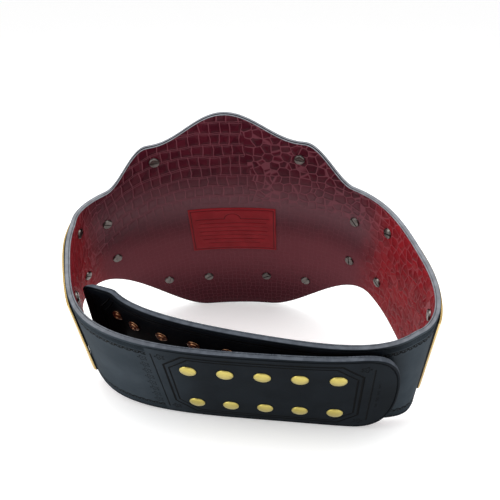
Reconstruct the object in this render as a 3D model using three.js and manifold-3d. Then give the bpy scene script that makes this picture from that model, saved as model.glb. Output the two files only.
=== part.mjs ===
// A championship title belt, fastened in a loop and standing on its lobe and its lower edge.
// Millimetres, +Z up. The sheet of the belt is laid out flat first: s runs along the belt from the
// middle of the main plate (to the right as seen from inside the loop), v runs up from the lower
// edge of the strap, and w runs outward from the inner face of the lining.
import * as THREE from 'three';
import { mergeVertices } from 'three/addons/utils/BufferGeometryUtils.js';
import Module from 'manifold-3d';

const wasm = await Module();
wasm.setup();

// Strap and layers
const STRAP_WIDTH = 126;
const LINING_THICK = 1.3;
const LEATHER_THICK = 3.8;
const SEAT_GAP = 0.3;
const LINING_OUT = LINING_THICK;
const LEATHER_IN = LINING_OUT + SEAT_GAP;
const LEATHER_OUT = LEATHER_IN + LEATHER_THICK;
const MID_LAYER = LEATHER_OUT / 2;

// Tall middle: shoulders and crown above the strap, lobe below it
const SHOULDER_RISE = 41;
const SHOULDER_FLAT = 80;
const SHOULDER_FOOT = 132;
const CROWN_RISE = 31;
const CROWN_REACH = 75;
const LOBE_DROP = 88;
const LOBE_FLAT = 39.5;
const LOBE_FOOT = 174;
const TIP_ROUND = 40;
const TIP_POWER = 2.4;
const TIP_BLUNT = 0.8;

// The loop in plan
const LOOP_WIDTH = 369;
const LOOP_DEPTH = 212.4;
const LOOP_STEPS = 700;

// Snaps
const SNAP_PITCH = 31.75;
const SNAP_COLUMNS = 5;
const STUD_COLUMNS = 8;
const MATED_STUD = 7;
const FIRST_SNAP = 425.5;
const SNAP_MIDDLE = 61.5;
const ROW_SPREAD = 63;
const TIP_MARGIN = 53.5;
const CAP_RADIUS = 7.5;
const CAP_HEIGHT = 2.8;
const CAP_SHOULDER = { radius: 0.8, height: 0.72 };
const POST_RADIUS = 2;
const SOCKET_RADIUS = 5.6;
const SOCKET_HEIGHT = 2.2;
const KNOB_RADIUS = 2.9;
const FLANGE_HEIGHT = 0.8;
const KNOB_HEIGHT = 1.6;
const SOCKET_FLOOR = 0.4;
const KNOB_CLEARANCE = 0.9;
const FASTENED_SPACE = 4;
const OVERLAP_EASE = 110;
const SPREAD = 25.9;
const SPREAD_RUN = 300;
const TIP_RETURN = 23.8;
const RETURN_RUN = 62.5;
const CAP_SIDES = 10;
const STUD_SIDES = 8;

// Screws
const HOLE_CLEARANCE = 0.35;
const HOLE_SIDES = 4;
const SCREW_HEAD_RADIUS = 5.6;
const SCREW_HEAD_HEIGHT = 1.7;
const SCREW_HEAD_TAPER = 0.86;
const SCREW_SHANK_RADIUS = 2.2;
const SHANK_SHORT = 1.2;
const SLOT_WIDTH = 1.3;
const SLOT_DEPTH = 0.8;
const SCREW_SIDES = 10;

// Plates
const PLATE_GAP = 0.4;
const PLATE_THICK = 2;
const PLATE_MARGIN = 6;
const PLATE_REACH = 153;
const PLATE_ROUND = 34;
const PLATE_RIM = { width: 6, rise: 0.8 };
const MEDALLION_MIDDLE = 57;
const MEDALLION_LONG = 60;
const MEDALLION_TALL = 47;
const MEDALLION_RISE = 3.2;
const MEDALLION_SIDES = 20;
const PLATES_APART = 11;
const SIDE_PLATE_START = PLATE_REACH + PLATES_APART;
const SIDE_PLATE_LENGTH = 142;
const SIDE_PLATE_MARGIN = 5;
const SIDE_PLATE_WAVE = 5;

// Label
const LABEL_LENGTH = 98.6;
const LABEL_HEIGHT = 64;
const LABEL_FOOT = 12.5;
const LABEL_THICK = 1;

// Sections round the loop: x in shares of the half width, y in shares of the depth, and how far
// the wall leans outward there, in degrees. They start at the crown and run to the right.
const SECTIONS = [
  { place: 'crown', x: 0.005, y: -0.016, lean: 1.3 },
  { place: 'right shoulder', x: 0.489, y: -0.002, lean: 1.4 },
  { place: 'right plate end', x: 0.833, y: 0.158, lean: 3.6 },
  { place: 'right wall', x: 0.993, y: 0.476, lean: 2.1 },
  { place: 'right turn', x: 1.096, y: 0.776, lean: 3.5 },
  { place: 'right near corner', x: 1.048, y: 0.965, lean: -4.6 },
  { place: 'outer tip', x: 0.802, y: 0.992, lean: 4.7 },
  { place: 'near snaps', x: 0.355, y: 0.989, lean: 5.7 },
  { place: 'near middle', x: -0.164, y: 0.996, lean: 5.5 },
  { place: 'near left', x: -0.552, y: 0.933, lean: 1.6 },
  { place: 'left turn', x: -0.711, y: 0.693, lean: -2.2 },
  { place: 'left wall', x: -0.916, y: 0.444, lean: -12.6 },
  { place: 'left plate end', x: -0.845, y: 0.231, lean: -7 },
  { place: 'left shoulder', x: -0.492, y: 0.075, lean: 1.7 },
];

// Screws of the main plate, mirrored to both sides: along in shares of the plate's reach, up in
// shares of the crown's height over the strap's lower edge
const MAIN_SCREWS = [
  { along: 0.49, up: 0.747 },
  { along: 0.91, up: 0.432 },
  { along: 0.91, up: 0.138 },
  { along: 0.56, up: -0.168 },
  { along: 0.236, up: -0.177 },
];

// Rings of the medallion from its root to its brow, in shares of its size and of its rise
const MEDALLION_RINGS = [
  { size: 1, rise: 0.4 },
  { size: 0.92, rise: 0.5 },
  { size: 0.55, rise: 0.9 },
];
const SIDE_SCREW_INSET = 19;
const SIDE_SCREW_HIGH = 102.5;
const SIDE_SCREW_LOW = 29;

// Grid of the faceted sheets
const STEP_FINE = 10;
const FINE_REACH = 400;
const FINE_END = 120;
const SHEET_ROWS = 2;
const TIP_STATIONS = [0, 0.05, 0.15, 0.32, 0.55, 0.8, 1];
const FACET_SAG = 0.5;
const FACET_RISE = 1.8;
const RIM_CHECKS = 8;
const MERGE_WITHIN = 1e-4;

function smooth(value) {
  const t = Math.min(Math.max(value, 0), 1);
  return t * t * (3 - 2 * t);
}

function fall(distance, flat, foot) {
  return smooth((foot - distance) / (foot - flat));
}

// Outline of the flat leather
function topEdge(s) {
  const across = Math.abs(s);
  const crown = across < CROWN_REACH ? 0.5 + 0.5 * Math.cos((Math.PI * across) / CROWN_REACH) : 0;
  return STRAP_WIDTH + SHOULDER_RISE * fall(across, SHOULDER_FLAT, SHOULDER_FOOT) + CROWN_RISE * crown;
}

function lowEdge(s) {
  return -LOBE_DROP * fall(Math.abs(s), LOBE_FLAT, LOBE_FOOT);
}

// How much of the half height is left at a distance from a rounded tip
function tipShare(distance, round) {
  const t = Math.min(Math.max(1 - distance / round, 0), 1);
  return (1 - t ** TIP_POWER) ** (1 / TIP_POWER);
}

// Closed cubic B-spline through the plan sections
function splineWeights(f) {
  const g = 1 - f;
  const sixths = [g ** 3, 3 * f ** 3 - 6 * f ** 2 + 4, 3 * g ** 3 - 6 * g ** 2 + 4, f ** 3];
  return sixths.map((part) => part / 6);
}

function planShare(t) {
  const first = Math.floor(t);
  const weights = splineWeights(t - first);
  const sum = { x: 0, y: 0, lean: 0 };
  weights.forEach((weight, k) => {
    const section = SECTIONS[(first + k - 1 + SECTIONS.length) % SECTIONS.length];
    sum.x += weight * section.x;
    sum.y += weight * section.y;
    sum.lean += weight * section.lean;
  });
  return sum;
}

function loopTable() {
  const raw = [];
  for (let i = 0; i <= LOOP_STEPS; i += 1) raw.push(planShare((i / LOOP_STEPS) * SECTIONS.length));
  const xs = raw.map((p) => p.x);
  const ys = raw.map((p) => p.y);
  const scaleX = LOOP_WIDTH / (Math.max(...xs) - Math.min(...xs));
  const scaleY = LOOP_DEPTH / (Math.max(...ys) - Math.min(...ys));
  const points = raw.map((p) => ({
    x: p.x * scaleX,
    y: -p.y * scaleY,
    lean: THREE.MathUtils.degToRad(p.lean),
  }));
  points.forEach((p, i) => {
    const before = points[i > 0 ? i - 1 : LOOP_STEPS - 1];
    const after = points[i < LOOP_STEPS ? i + 1 : 1];
    const length = Math.hypot(after.x - before.x, after.y - before.y);
    p.tx = (after.x - before.x) / length;
    p.ty = (after.y - before.y) / length;
    p.at = i === 0 ? 0 : before.at + Math.hypot(p.x - before.x, p.y - before.y);
  });
  return points;
}

const LOOP = loopTable();
const LOOP_LENGTH = LOOP[LOOP_STEPS].at;
const LAST_SNAP = FIRST_SNAP + (SNAP_COLUMNS - 1) * SNAP_PITCH;
const OUTER_TIP = -(LAST_SNAP + TIP_MARGIN);
const MATED_AT = LOOP_LENGTH - LAST_SNAP;
const INNER_TIP = MATED_AT + MATED_STUD * SNAP_PITCH + TIP_MARGIN;

function loopPoint(s) {
  const at = ((s % LOOP_LENGTH) + LOOP_LENGTH) % LOOP_LENGTH;
  let low = 0;
  let high = LOOP_STEPS;
  while (high - low > 1) {
    const middle = (low + high) >> 1;
    if (LOOP[middle].at <= at) low = middle;
    else high = middle;
  }
  const f = (at - LOOP[low].at) / (LOOP[high].at - LOOP[low].at);
  const mix = (key) => LOOP[low][key] * (1 - f) + LOOP[high][key] * f;
  return { x: mix('x'), y: mix('y'), tx: mix('tx'), ty: mix('ty'), lean: mix('lean') };
}

// The inner strap end passes behind the outer one, drifts inward from it, and runs straight on at
// its free tip, where the loop turns away
function inset(s) {
  const outerTipAt = LOOP_LENGTH + OUTER_TIP;
  const ease = smooth((s - outerTipAt + OVERLAP_EASE) / OVERLAP_EASE);
  const drift = SPREAD * smooth((s - outerTipAt) / SPREAD_RUN);
  const back = TIP_RETURN * smooth((s - INNER_TIP + RETURN_RUN) / RETURN_RUN);
  return ease * (LEATHER_OUT + FASTENED_SPACE) + drift - back;
}

function spot(s, v, w) {
  const p = loopPoint(s);
  const across = (w - MID_LAYER) * Math.cos(p.lean) + v * Math.sin(p.lean) - inset(s);
  const z = v * Math.cos(p.lean) - (w - MID_LAYER) * Math.sin(p.lean);
  return new THREE.Vector3(p.x - p.ty * across, p.y + p.tx * across, z);
}

// Which way the sheet faces outward
function outwardAt(s, v) {
  const along = spot(s + 1, v, 0).sub(spot(s - 1, v, 0));
  const up = spot(s, v + 1, 0).sub(spot(s, v - 1, 0));
  return up.cross(along).normalize();
}

// Local frame on the lining's inner face: +Z outward, +Y up the wall
function seatMatrix(s, v) {
  const origin = spot(s, v, 0);
  const outward = outwardAt(s, v);
  const side = spot(s, v + 1, 0).sub(origin).cross(outward).normalize();
  const up = outward.clone().cross(side);
  return new THREE.Matrix4().makeBasis(side, up, outward).setPosition(origin);
}

// Closed meshes
function meshGeometry(points, triangles) {
  const geometry = new THREE.BufferGeometry();
  const numbers = points.flatMap((p) => [p.x, p.y, p.z]);
  geometry.setAttribute('position', new THREE.Float32BufferAttribute(numbers, 3));
  geometry.setIndex(triangles.flat());
  return geometry;
}

function toSolid(geometry, matrix) {
  const bare = geometry.clone();
  bare.deleteAttribute('normal');
  bare.deleteAttribute('uv');
  if (matrix) bare.applyMatrix4(matrix);
  const merged = mergeVertices(bare, MERGE_WITHIN);
  return new wasm.Manifold(new wasm.Mesh({
    numProp: 3,
    vertProperties: new Float32Array(merged.attributes.position.array),
    triVerts: new Uint32Array(merged.index.array),
  }));
}

function toGeometry(solid) {
  const mesh = solid.getMesh();
  const geometry = new THREE.BufferGeometry();
  geometry.setAttribute('position', new THREE.BufferAttribute(mesh.vertProperties, 3));
  geometry.setIndex(new THREE.BufferAttribute(mesh.triVerts, 1));
  return geometry;
}

// Rows of points up a wall: share of the wall's height, shift along it, rise of the outer face
function plainLevels() {
  return Array.from({ length: SHEET_ROWS + 1 }, (_, j) => [j / SHEET_ROWS, 0, 0]);
}

function rimmedLevels({ width, rise }) {
  const lowRim = [[0, 0, rise], [0, width, rise], [0, width + rise, 0]];
  const highRim = lowRim.map(([, shift, up]) => [1, -shift, up]).reverse();
  return [...lowRim, [0.5, 0, 0], ...highRim];
}

// A wall between two edges of the flat sheet, with a plain inner face; its outer face is level, or
// has a raised rim along both edges
function sheetGeometry(stations, low, high, wIn, wOut, rim) {
  const levels = rim ? rimmedLevels(rim) : plainLevels();
  const rows = levels.length - 1;
  const points = [];
  for (const side of [0, 1]) {
    for (const s of stations) {
      for (const [share, shift, rise] of levels) {
        const v = low(s) + (high(s) - low(s)) * share + shift;
        points.push(spot(s, v, side ? wOut + rise : wIn));
      }
    }
  }
  const count = stations.length;
  const inner = (i, j) => i * (rows + 1) + j;
  const outer = (i, j) => (count + i) * (rows + 1) + j;
  const triangles = [];
  const quad = (a, b, c, d) => triangles.push([a, b, c], [a, c, d]);
  for (let i = 0; i < count - 1; i += 1) {
    for (let j = 0; j < rows; j += 1) {
      quad(outer(i, j), outer(i, j + 1), outer(i + 1, j + 1), outer(i + 1, j));
      quad(inner(i, j), inner(i + 1, j), inner(i + 1, j + 1), inner(i, j + 1));
    }
    quad(outer(i, rows), inner(i, rows), inner(i + 1, rows), outer(i + 1, rows));
    quad(outer(i, 0), outer(i + 1, 0), inner(i + 1, 0), inner(i, 0));
  }
  for (let j = 0; j < rows; j += 1) {
    quad(outer(0, j), inner(0, j), inner(0, j + 1), outer(0, j + 1));
    quad(outer(count - 1, j), outer(count - 1, j + 1), inner(count - 1, j + 1), inner(count - 1, j));
  }
  return meshGeometry(points, triangles);
}

// Stations along s: whole multiples of a step that is fine where the sheet bends most, and closer
// ones at rounded tips
function stationsBetween(from, to, round) {
  const tip = round > 0 ? TIP_STATIONS.map((share) => TIP_BLUNT + (round - TIP_BLUNT) * share) : [0];
  const list = tip.map((distance) => from + distance);
  const firstFree = list[list.length - 1] + STEP_FINE / 2;
  const lastFree = to - tip[tip.length - 1] - STEP_FINE / 2;
  for (let s = Math.ceil(firstFree / STEP_FINE) * STEP_FINE; s < lastFree; s += STEP_FINE) {
    const fine = Math.abs(s) <= FINE_REACH || to - s < FINE_END;
    if (fine || (s / STEP_FINE) % 2 === 0) list.push(s);
  }
  return [...list, ...tip.map((distance) => to - distance).reverse()];
}

function trimmed(edge, middle, from, to, round) {
  return (s) => {
    const share = tipShare(Math.min(s - from, to - s), round);
    return middle(s) + (edge(s) - middle(s)) * share;
  };
}

function strapSheet(wIn, wOut) {
  const middle = () => STRAP_WIDTH / 2;
  const low = trimmed(lowEdge, middle, OUTER_TIP, INNER_TIP, TIP_ROUND);
  const high = trimmed(topEdge, middle, OUTER_TIP, INNER_TIP, TIP_ROUND);
  const stations = stationsBetween(OUTER_TIP, INNER_TIP, TIP_ROUND);
  return sheetGeometry(stations, low, high, wIn, wOut);
}

// Places of screws and snaps on the flat sheet
function mainScrewPlaces() {
  const crownHeight = STRAP_WIDTH + SHOULDER_RISE + CROWN_RISE;
  return [-1, 1].flatMap((side) => MAIN_SCREWS.map((row) => ({
    s: side * row.along * PLATE_REACH,
    v: row.up * crownHeight,
  })));
}

function sideScrewPlaces(side) {
  const near = SIDE_PLATE_START + SIDE_SCREW_INSET;
  const far = SIDE_PLATE_START + SIDE_PLATE_LENGTH - SIDE_SCREW_INSET;
  return [near, far].flatMap((s) => [SIDE_SCREW_HIGH, SIDE_SCREW_LOW].map((v) => ({ s: side * s, v })));
}

const SNAP_ROWS = [SNAP_MIDDLE + ROW_SPREAD / 2, SNAP_MIDDLE - ROW_SPREAD / 2];

function capPlaces() {
  const columns = Array.from({ length: SNAP_COLUMNS }, (_, i) => -(FIRST_SNAP + i * SNAP_PITCH));
  return SNAP_ROWS.flatMap((v) => columns.map((s) => ({ s, v })));
}

function studPlaces() {
  const columns = Array.from({ length: STUD_COLUMNS }, (_, j) => MATED_AT + (MATED_STUD - j) * SNAP_PITCH);
  return SNAP_ROWS.flatMap((v) => columns.map((s) => ({ s, v })));
}

// Holes through both layers
function drill(layer, places, radius) {
  const reach = 4 * LEATHER_OUT;
  const round = radius / Math.cos(Math.PI / HOLE_SIDES);
  const tool = new THREE.CylinderGeometry(round, round, reach, HOLE_SIDES).rotateX(Math.PI / 2);
  const punch = (place) => toSolid(tool, seatMatrix(place.s, place.v));
  return places.reduce((solid, place) => solid.subtract(punch(place)), layer);
}

function drilledLayer(wIn, wOut) {
  const screws = [...mainScrewPlaces(), ...sideScrewPlaces(-1), ...sideScrewPlaces(1)];
  const snaps = [...capPlaces(), ...studPlaces()];
  const withScrews = drill(toSolid(strapSheet(wIn, wOut)), screws, SCREW_SHANK_RADIUS + HOLE_CLEARANCE);
  return toGeometry(drill(withScrews, snaps, POST_RADIUS + HOLE_CLEARANCE));
}

// Turned pieces: the profile is a list of [radius, height] from the axis back to the axis
function turned(profile, sides) {
  const points = profile.map(([radius, height]) => new THREE.Vector2(radius, height));
  return new THREE.LatheGeometry(points, sides).rotateX(Math.PI / 2);
}

// Where a flat disc of this radius can sit across a place's axis, clear of the bent sheet: below on
// the lining's side, above on the leather's side. Where the leather bends towards the disc, its flat
// facets stand above the curve, in proportion to the rise at the disc's rim
function discSeats({ s, v }, radius) {
  const origin = spot(s, v, 0);
  const outward = outwardAt(s, v);
  const heights = (w) => {
    const face = spot(s, v, w);
    const along = spot(s + 1, v, w).sub(face);
    const axis = outward.clone().multiplyScalar(w).add(origin);
    const middle = s + axis.sub(face).dot(along) / along.lengthSq();
    return Array.from({ length: RIM_CHECKS }, (_, k) => {
      const angle = (2 * Math.PI * k) / RIM_CHECKS;
      const rim = spot(middle + radius * Math.cos(angle), v + radius * Math.sin(angle), w);
      return rim.sub(origin).dot(outward);
    });
  };
  const rise = Math.max(0, ...heights(LEATHER_OUT).map((height) => height - LEATHER_OUT));
  return {
    below: Math.min(0, ...heights(0)) - FACET_SAG - SEAT_GAP,
    above: LEATHER_OUT + rise * FACET_RISE + SEAT_GAP,
  };
}

// Slotted screw: head on the lining, shank through to the back of the plate
function screwGeometry(place) {
  const seat = discSeats(place, SCREW_HEAD_RADIUS).below;
  const top = seat - SCREW_HEAD_HEIGHT;
  const body = turned([
    [0, top],
    [SCREW_HEAD_RADIUS * SCREW_HEAD_TAPER, top],
    [SCREW_HEAD_RADIUS, seat],
    [SCREW_SHANK_RADIUS, seat],
    [SCREW_SHANK_RADIUS, LEATHER_OUT - SHANK_SHORT],
    [0, LEATHER_OUT - SHANK_SHORT],
  ], SCREW_SIDES);
  const slot = new THREE.BoxGeometry(4 * SCREW_HEAD_RADIUS, SLOT_WIDTH, 2 * SLOT_DEPTH);
  return toGeometry(toSolid(body).subtract(toSolid(slot.translate(0, 0, top))));
}

// Snap cap: dome outside, post through the strap, socket on the lining
function capGeometry(place) {
  const seat = discSeats(place, SOCKET_RADIUS).below;
  const base = discSeats(place, CAP_RADIUS).above;
  return turned([
    [0, seat - SOCKET_FLOOR],
    [KNOB_RADIUS + KNOB_CLEARANCE, seat - SOCKET_FLOOR],
    [KNOB_RADIUS + KNOB_CLEARANCE, seat - SOCKET_HEIGHT],
    [SOCKET_RADIUS, seat - SOCKET_HEIGHT],
    [SOCKET_RADIUS, seat],
    [POST_RADIUS, seat],
    [POST_RADIUS, base],
    [CAP_RADIUS, base],
    [CAP_RADIUS * CAP_SHOULDER.radius, base + CAP_HEIGHT * CAP_SHOULDER.height],
    [0, base + CAP_HEIGHT],
  ], CAP_SIDES);
}

// Snap stud: rivet disc on the lining, post through the strap, flange and knob outside
function studGeometry(place) {
  const { below, above: base } = discSeats(place, SOCKET_RADIUS);
  const top = base + FLANGE_HEIGHT;
  const knobTop = top + KNOB_HEIGHT;
  return turned([
    [0, below - FLANGE_HEIGHT],
    [SOCKET_RADIUS, below],
    [POST_RADIUS, below],
    [POST_RADIUS, base],
    [SOCKET_RADIUS, base],
    [SOCKET_RADIUS, top],
    [KNOB_RADIUS, top],
    [KNOB_RADIUS, knobTop],
    [0, knobTop],
  ], STUD_SIDES);
}

// Plates: a slab over the leather with a raised rim; the main one follows the leather's outline and
// carries a domed medallion
const PLATE_IN = LEATHER_OUT + PLATE_GAP;
const PLATE_OUT = PLATE_IN + PLATE_THICK;
const PLATE_ROOT = PLATE_IN + PLATE_THICK / 2;

function plateEdge(leatherEdge, margin) {
  const middle = () => MEDALLION_MIDDLE;
  const edge = (s) => leatherEdge(s) + margin;
  return trimmed(edge, middle, -PLATE_REACH, PLATE_REACH, PLATE_ROUND);
}

// A domed oval on the sheet
function medallionGeometry(wIn, wOut) {
  const sides = MEDALLION_SIDES;
  const brow = MEDALLION_RINGS.map((ring) => ({ size: ring.size, w: wOut + MEDALLION_RISE * ring.rise }));
  const rings = [{ size: 1, w: wIn }, ...brow];
  const ringPoint = (ring, k) => {
    const angle = (2 * Math.PI * k) / sides;
    const s = MEDALLION_LONG * ring.size * Math.cos(angle);
    const v = MEDALLION_MIDDLE + MEDALLION_TALL * ring.size * Math.sin(angle);
    return spot(s, v, ring.w);
  };
  const points = rings.flatMap((ring) => Array.from({ length: sides }, (_, k) => ringPoint(ring, k)));
  const back = points.push(spot(0, MEDALLION_MIDDLE, wIn)) - 1;
  const front = points.push(spot(0, MEDALLION_MIDDLE, wOut + MEDALLION_RISE)) - 1;
  const triangles = [];
  for (let k = 0; k < sides; k += 1) {
    const next = (k + 1) % sides;
    for (let r = 0; r < rings.length - 1; r += 1) {
      triangles.push([r * sides + k, (r + 1) * sides + k, (r + 1) * sides + next]);
      triangles.push([r * sides + k, (r + 1) * sides + next, r * sides + next]);
    }
    triangles.push([(rings.length - 1) * sides + k, front, (rings.length - 1) * sides + next]);
    triangles.push([k, next, back]);
  }
  return meshGeometry(points, triangles);
}

function mainPlateGeometry() {
  const stations = stationsBetween(-PLATE_REACH, PLATE_REACH, PLATE_ROUND);
  const low = plateEdge(lowEdge, PLATE_MARGIN);
  const high = plateEdge(topEdge, -PLATE_MARGIN);
  const slab = sheetGeometry(stations, low, high, PLATE_IN, PLATE_OUT, PLATE_RIM);
  return toGeometry(toSolid(slab).add(toSolid(medallionGeometry(PLATE_ROOT, PLATE_OUT))));
}

// Side plate: a slab with bowed long edges and the same raised rim
function sidePlateGeometry(side) {
  const reach = SIDE_PLATE_START + SIDE_PLATE_LENGTH;
  const from = side > 0 ? SIDE_PLATE_START : -reach;
  const to = from + SIDE_PLATE_LENGTH;
  const wave = (s) => SIDE_PLATE_WAVE * Math.sin((Math.PI * (s - from)) / SIDE_PLATE_LENGTH) ** 2;
  const low = (s) => SIDE_PLATE_MARGIN + SIDE_PLATE_WAVE - wave(s);
  const high = (s) => STRAP_WIDTH - SIDE_PLATE_MARGIN - SIDE_PLATE_WAVE + wave(s);
  return sheetGeometry(stationsBetween(from, to, 0), low, high, PLATE_IN, PLATE_OUT, PLATE_RIM);
}

function labelGeometry() {
  const stations = stationsBetween(-LABEL_LENGTH / 2, LABEL_LENGTH / 2, 0);
  const low = () => LABEL_FOOT;
  const high = () => LABEL_FOOT + LABEL_HEIGHT;
  return sheetGeometry(stations, low, high, -SEAT_GAP - LABEL_THICK, -SEAT_GAP);
}

// Materials and meshes
const LOOKS = {
  leather: { color: 0x1b2027, roughness: 0.42, metalness: 0 },
  lining: { color: 0x5a1020, roughness: 0.3, metalness: 0 },
  label: { color: 0x8c1218, roughness: 0.5, metalness: 0 },
  plate: { color: 0xc9a54a, roughness: 0.28, metalness: 1 },
  screw: { color: 0x5c5650, roughness: 0.35, metalness: 1 },
  snap: { color: 0xcbb45c, roughness: 0.3, metalness: 1 },
  stud: { color: 0x9a6038, roughness: 0.32, metalness: 1 },
};

function piece(name, geometry, look, matrix) {
  const mesh = new THREE.Mesh(geometry, new THREE.MeshStandardMaterial(LOOKS[look]));
  mesh.name = name;
  if (matrix) matrix.decompose(mesh.position, mesh.quaternion, mesh.scale);
  return mesh;
}

function pieces(prefix, places, makeGeometry, look) {
  return places.map((p, i) => piece(`${prefix}_${i + 1}`, makeGeometry(p), look, seatMatrix(p.s, p.v)));
}

const belt = new THREE.Group();
belt.add(piece('strap', drilledLayer(LEATHER_IN, LEATHER_OUT), 'leather'));
belt.add(piece('lining', drilledLayer(0, LINING_OUT), 'lining'));
belt.add(piece('label_patch', labelGeometry(), 'label'));
belt.add(piece('main_plate', mainPlateGeometry(), 'plate'));
belt.add(piece('side_plate_left', sidePlateGeometry(-1), 'plate'));
belt.add(piece('side_plate_right', sidePlateGeometry(1), 'plate'));
belt.add(...pieces('main_screw', mainScrewPlaces(), screwGeometry, 'screw'));
belt.add(...pieces('side_screw_left', sideScrewPlaces(-1), screwGeometry, 'screw'));
belt.add(...pieces('side_screw_right', sideScrewPlaces(1), screwGeometry, 'screw'));
belt.add(...pieces('snap_cap', capPlaces(), capGeometry, 'snap'));
belt.add(...pieces('snap_stud', studPlaces(), studGeometry, 'stud'));

// The belt rests on its lobe and on the near strap's lower edge, so the sheet's frame is tipped
function restTilt() {
  const lobe = spot(0, lowEdge(0), 0);
  const near = spot(-LAST_SNAP, 0, LEATHER_OUT);
  return Math.atan2(near.z - lobe.z, lobe.y - near.y);
}

belt.rotation.x = restTilt();
const standing = new THREE.Group();
standing.add(belt);
standing.updateMatrixWorld(true);
const bounds = new THREE.Box3().setFromObject(standing, true);
const middle = bounds.getCenter(new THREE.Vector3());
belt.position.set(-middle.x, -middle.y, -bounds.min.z);

export default standing;
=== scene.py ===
"""A championship title belt, fastened in a loop and standing on its lobe and its lower edge.

The belt is laid out flat first, in millimetres: s runs along it from the middle of the main plate,
to the right as seen from inside the loop, v runs up from the strap's lower edge, and w runs outward
from the inner face of the lining. spot() bends that sheet into the loop and placed() stands it up.
"""
import math
from functools import partial
from typing import NamedTuple

import bmesh
import bpy
import numpy as np
from mathutils import Matrix, Vector


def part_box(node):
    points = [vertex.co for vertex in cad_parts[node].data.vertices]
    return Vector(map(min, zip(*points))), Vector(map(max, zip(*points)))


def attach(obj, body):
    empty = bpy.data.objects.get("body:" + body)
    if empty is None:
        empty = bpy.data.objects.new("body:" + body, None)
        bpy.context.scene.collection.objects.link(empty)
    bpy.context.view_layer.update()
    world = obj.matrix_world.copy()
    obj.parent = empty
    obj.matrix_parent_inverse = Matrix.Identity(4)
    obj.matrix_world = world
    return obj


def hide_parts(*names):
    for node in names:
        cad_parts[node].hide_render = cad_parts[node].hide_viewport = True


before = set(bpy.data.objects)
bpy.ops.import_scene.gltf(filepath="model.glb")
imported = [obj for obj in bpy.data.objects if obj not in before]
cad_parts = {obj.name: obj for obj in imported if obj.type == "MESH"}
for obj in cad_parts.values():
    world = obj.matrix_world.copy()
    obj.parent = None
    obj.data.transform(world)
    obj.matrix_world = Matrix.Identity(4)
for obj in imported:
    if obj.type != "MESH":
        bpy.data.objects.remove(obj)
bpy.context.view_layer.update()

MM = 0.001

# Strap and layers
STRAP_WIDTH = 126.0
STRAP_MIDDLE = STRAP_WIDTH / 2
LINING_THICK = 1.3
LEATHER_IN = 1.6
LEATHER_OUT = 5.4
MID_LAYER = LEATHER_OUT / 2

# Tall middle: shoulders and crown above the strap, lobe below it
SHOULDER_RISE = 41.0
SHOULDER_FLAT = 80.0
SHOULDER_FOOT = 132.0
CROWN_RISE = 31.0
CROWN_REACH = 75.0
LOBE_DROP = 88.0
LOBE_FLAT = 39.5
LOBE_FOOT = 174.0
TIP_ROUND = 40.0
TIP_POWER = 2.4

# The loop in plan
LOOP_WIDTH = 369.0
LOOP_DEPTH = 212.4
LOOP_STEPS = 700

# Share of the half width, share of the depth and lean in degrees, round the loop from the crown
SECTIONS = (
    (0.005, -0.016, 1.3),
    (0.489, -0.002, 1.4),
    (0.833, 0.158, 3.6),
    (0.993, 0.476, 2.1),
    (1.096, 0.776, 3.5),
    (1.048, 0.965, -4.6),
    (0.802, 0.992, 4.7),
    (0.355, 0.989, 5.7),
    (-0.164, 0.996, 5.5),
    (-0.552, 0.933, 1.6),
    (-0.711, 0.693, -2.2),
    (-0.916, 0.444, -12.6),
    (-0.845, 0.231, -7.0),
    (-0.492, 0.075, 1.7),
)

# Snaps
SNAP_PITCH = 31.75
SNAP_COLUMNS = 5
STUD_COLUMNS = 8
MATED_STUD = 7
FIRST_SNAP = 425.5
SNAP_MIDDLE = 61.5
ROW_SPREAD = 63.0
SNAP_ROWS = (SNAP_MIDDLE + ROW_SPREAD / 2, SNAP_MIDDLE - ROW_SPREAD / 2)
TIP_MARGIN = 53.5
FASTENED_SPACE = 4.0
OVERLAP_EASE = 110.0
SPREAD = 25.9
SPREAD_RUN = 300.0
TIP_RETURN = 23.8
RETURN_RUN = 62.5

# Plates
PLATE_GAP = 0.4
PLATE_IN = LEATHER_OUT + PLATE_GAP
PLATE_THICK = 2.0
PLATE_OUT = PLATE_IN + PLATE_THICK
PLATE_MARGIN = 6.0
PLATE_REACH = 153.0
PLATE_ROUND = 34.0
RIM_GAP = 3.4
MEDALLION_MIDDLE = 57.0
MEDALLION_LONG = 60.0
MEDALLION_TALL = 47.0
PLATES_APART = 11.0
SIDE_PLATE_START = PLATE_REACH + PLATES_APART
SIDE_PLATE_LENGTH = 142.0
SIDE_PLATE_END = SIDE_PLATE_START + SIDE_PLATE_LENGTH
SIDE_PLATE_MARGIN = 5.0
SIDE_PLATE_WAVE = 5.0

# Screws: shares of the main plate's reach and of the crown's height, and places on the side plates
MAIN_SCREWS = ((0.49, 0.747), (0.91, 0.432), (0.91, 0.138), (0.56, -0.168), (0.236, -0.177))
SIDE_SCREW_INSET = 19.0
SIDE_SCREW_HIGH = 102.5
SIDE_SCREW_LOW = 29.0
SCREW_TURN = 37

# Label
LABEL_LENGTH = 98.6
LABEL_HEIGHT = 64.0
LABEL_FOOT = 12.5
LABEL_MIDDLE = LABEL_FOOT + LABEL_HEIGHT / 2
SOLID_LABEL_STEPS = np.arange(-40, 41, 10)
SOLID_LABEL_ROWS = np.array([0, 0.5, 1])
SOLID_LABEL_FACES = (-1.3, -0.3)


class Sheet(NamedTuple):
    """A layer of the belt: w of its faces, radii of its edges, and how finely it is meshed."""
    inner: float
    outer: float
    edge: float
    inner_edge: float
    step: float
    outer_rows: int
    inner_rows: int
    gaps: tuple


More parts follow.
